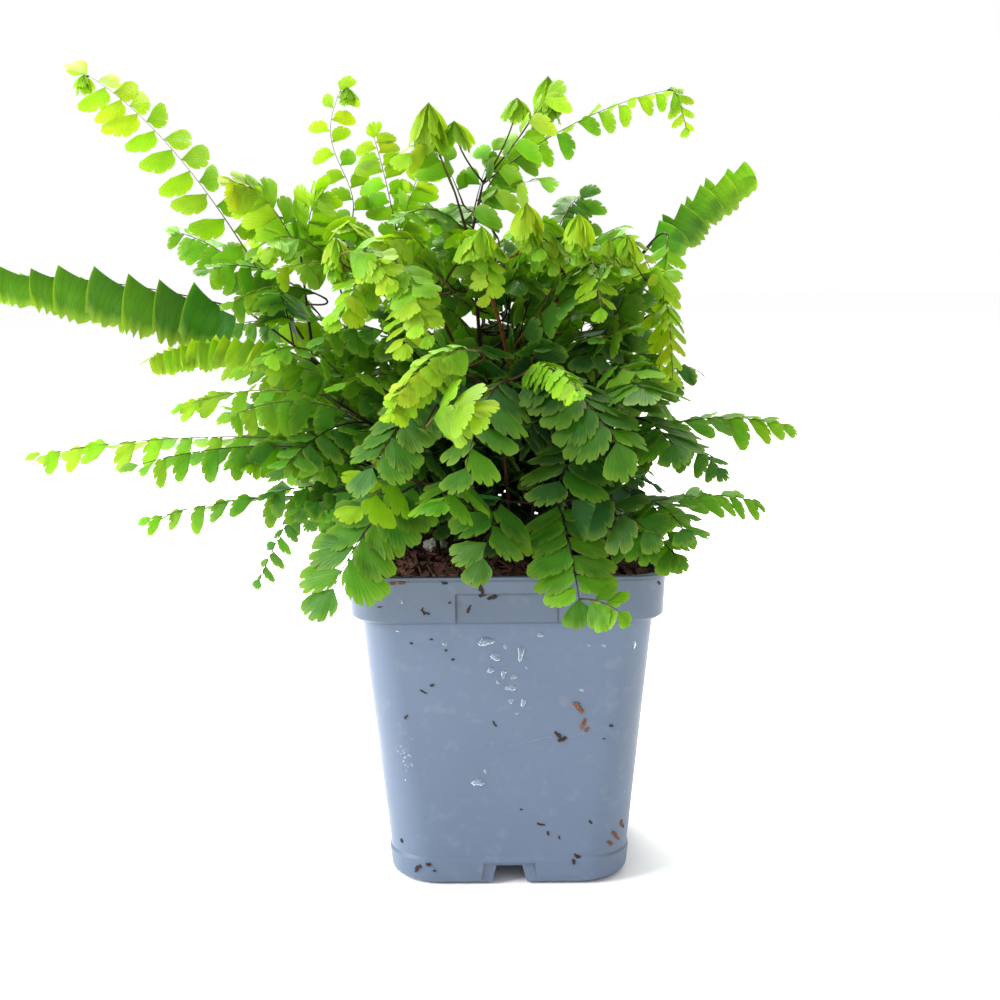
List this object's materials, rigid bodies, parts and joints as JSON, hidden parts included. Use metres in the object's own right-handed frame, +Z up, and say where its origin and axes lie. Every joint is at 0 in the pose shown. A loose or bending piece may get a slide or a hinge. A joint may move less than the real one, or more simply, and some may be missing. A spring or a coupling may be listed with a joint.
{
  "type": "potted fern",
  "caption": "Imbricate northern maidenhair fern with arching fronds of small fan-shaped leaflets, growing in a square blue-grey nursery pot.",
  "frame": {"origin": "middle of the flat underside of the pot, where it rests on the ground", "axes": "+Z up, -Y towards the pot's front with the label recess, +X to the right as seen from the front"},
  "size_m": [0.2611, 0.1779, 0.2415],
  "materials": {
    "pot_plastic": "satin",
    "soil_mix": "matte",
    "stone_white": "matte",
    "leaf_lime": "satin",
    "leaf_green": "satin",
    "leaf_dark": "satin"
  },
  "bodies": {
    "root": {"pot": "pot_plastic", "soil": "soil_mix", "stone": "stone_white", "frond_front_left": "leaf_lime", "frond_front_centre": "leaf_green", "frond_front_lime": "leaf_lime", "frond_right_low": "leaf_green", "frond_left_low": "leaf_green", "frond_centre_lime": "leaf_lime", "frond_right_mid": "leaf_green", "frond_centre_young": "leaf_lime", "frond_left_mid": "leaf_green", "frond_left_long": "leaf_green", "frond_left_high": "leaf_lime", "frond_centre_tall": "leaf_lime", "frond_right_brown": "leaf_green", "frond_centre_left": "leaf_green", "frond_middle_low": "leaf_dark", "frond_right_high": "leaf_dark", "frond_back_left": "leaf_dark", "frond_back_middle": "leaf_dark", "frond_back_right": "leaf_dark"}
  },
  "joints": []
}
